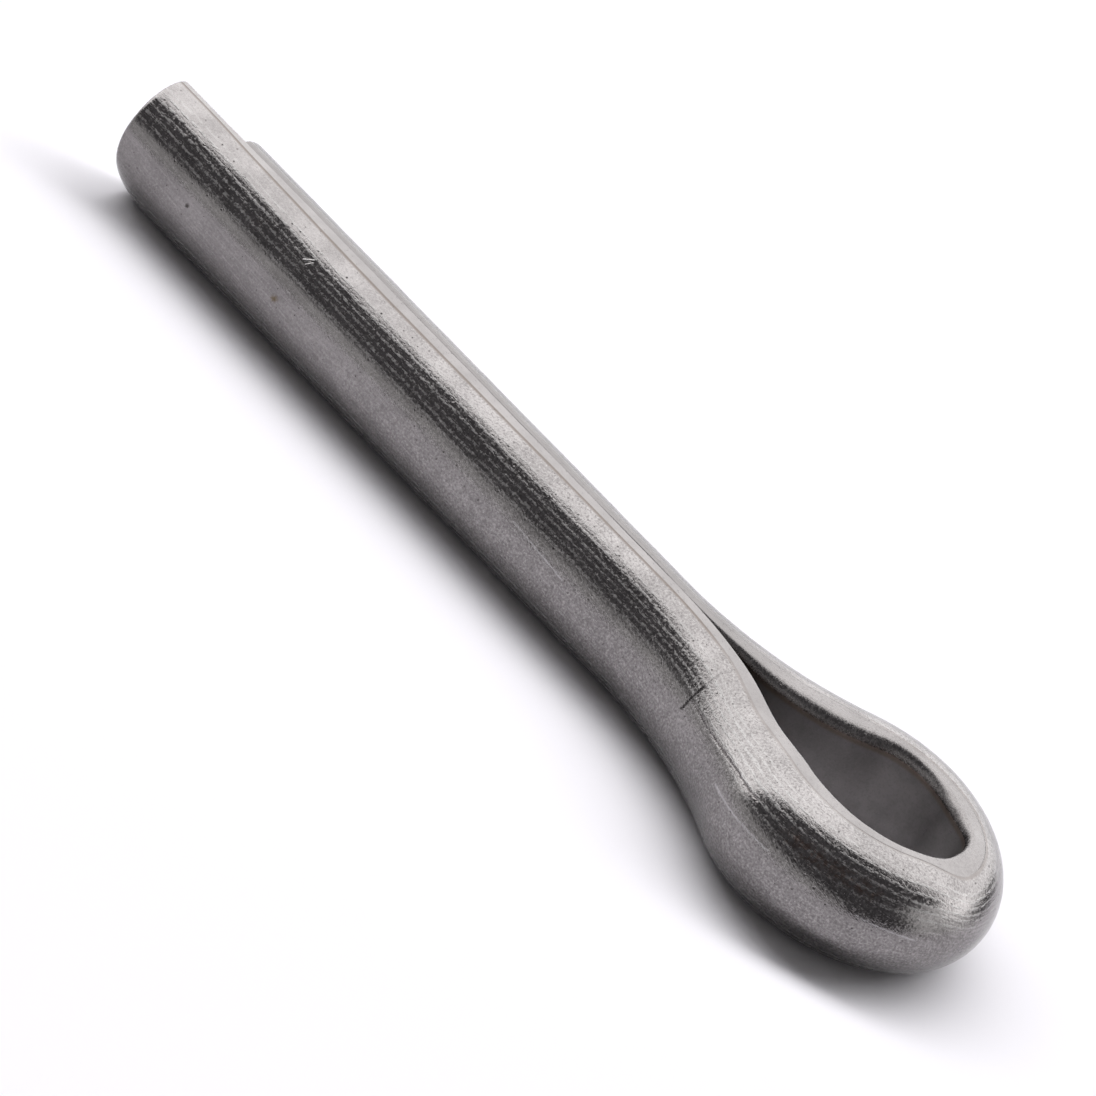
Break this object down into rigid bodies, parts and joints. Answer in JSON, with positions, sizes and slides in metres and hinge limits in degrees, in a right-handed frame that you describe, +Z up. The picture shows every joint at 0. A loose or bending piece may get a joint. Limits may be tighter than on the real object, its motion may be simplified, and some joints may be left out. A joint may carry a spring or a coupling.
{
  "type": "cotter pin",
  "caption": "Split pin of half-round steel wire, folded into a round shank with a teardrop eye, with a longer leg that is spread after fitting.",
  "frame": {"origin": "on the shank's axis at the neck, where the legs begin to part", "axes": "+X along the shank's axis towards the eye, +Y towards the short leg, +Z up, square to the eye's plane, with the pin lying on its side"},
  "size_m": [0.0534, 0.0144, 0.0058],
  "materials": {
    "steel": "plain drawn mild steel wire, bare and worn, with lengthwise drawing lines, dull grain on the round side and small brown spots"
  },
  "bodies": {
    "root": {"cotter_pin": "steel"}
  },
  "joints": []
}
